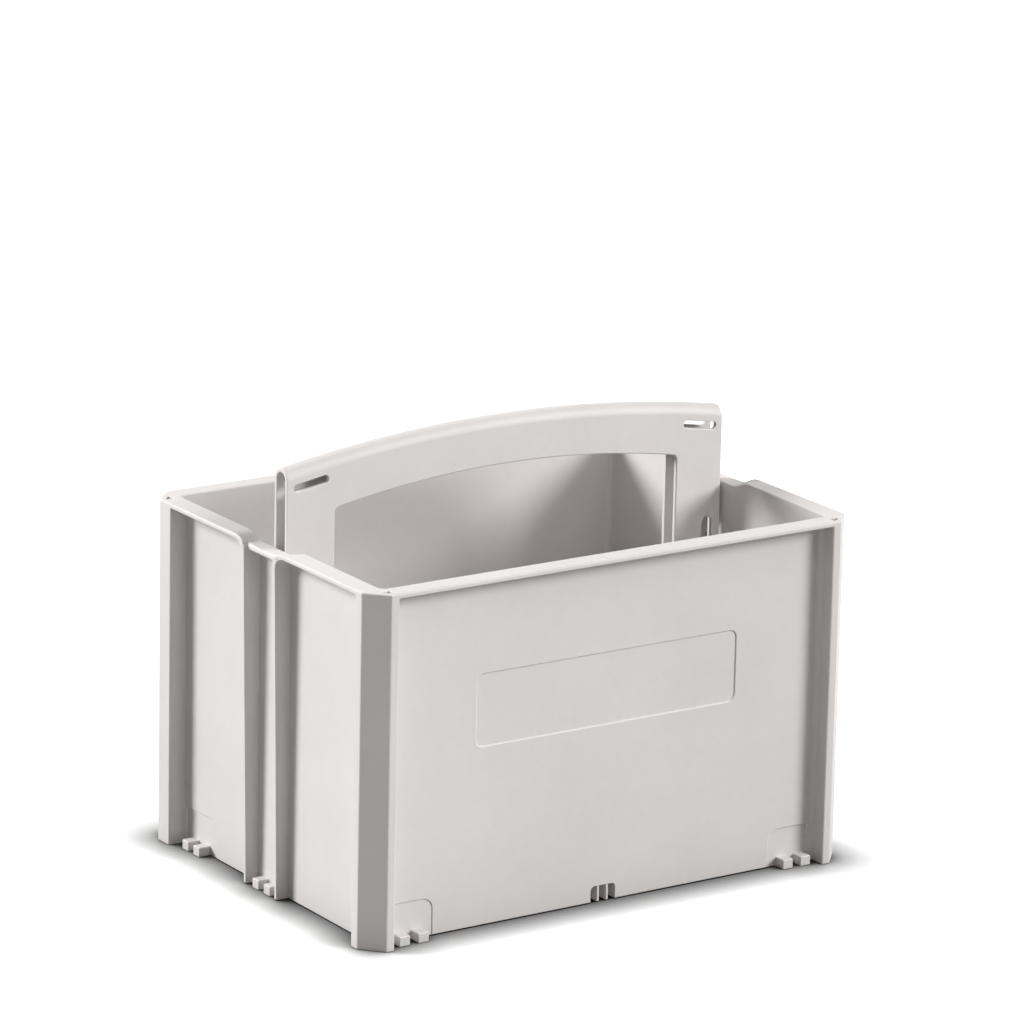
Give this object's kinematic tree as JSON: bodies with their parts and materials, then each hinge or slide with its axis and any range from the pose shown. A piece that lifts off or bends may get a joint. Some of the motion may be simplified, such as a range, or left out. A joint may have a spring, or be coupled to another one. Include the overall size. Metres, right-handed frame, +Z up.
{
  "type": "tool caddy",
  "caption": "Open, deep stacking tool tub with hollow corner posts and a full-length arched handle that pushes down flush with the rim.",
  "frame": {"origin": "centre of the footprint, on the floor that the caddy stands on", "axes": "+X along the long sides, +Y from the front long side to the rear one, +Z up"},
  "size_m": [0.396, 0.296, 0.317],
  "materials": {
    "tub_plastic": "injection-moulded ABS, light warm grey, fine-grained matte",
    "handle_plastic": "injection-moulded ABS, light warm grey, fine-grained matte",
    "shoe_plastic": "moulded acetal, dark grey, satin",
    "pin_plastic": "moulded glass-filled nylon, mid grey, satin"
  },
  "bodies": {
    "tub_body": {"tub": "tub_plastic", "left_stop_pin": "pin_plastic", "right_stop_pin": "pin_plastic"},
    "handle_body": {"handle": "handle_plastic", "left_shoe": "shoe_plastic", "right_shoe": "shoe_plastic"}
  },
  "joints": [
    {"name": "handle_slide", "type": "slide", "parent": "tub_body", "child": "handle_body", "axis": [0, 0, 1], "range_m": [-0.067, 0]}
  ]
}
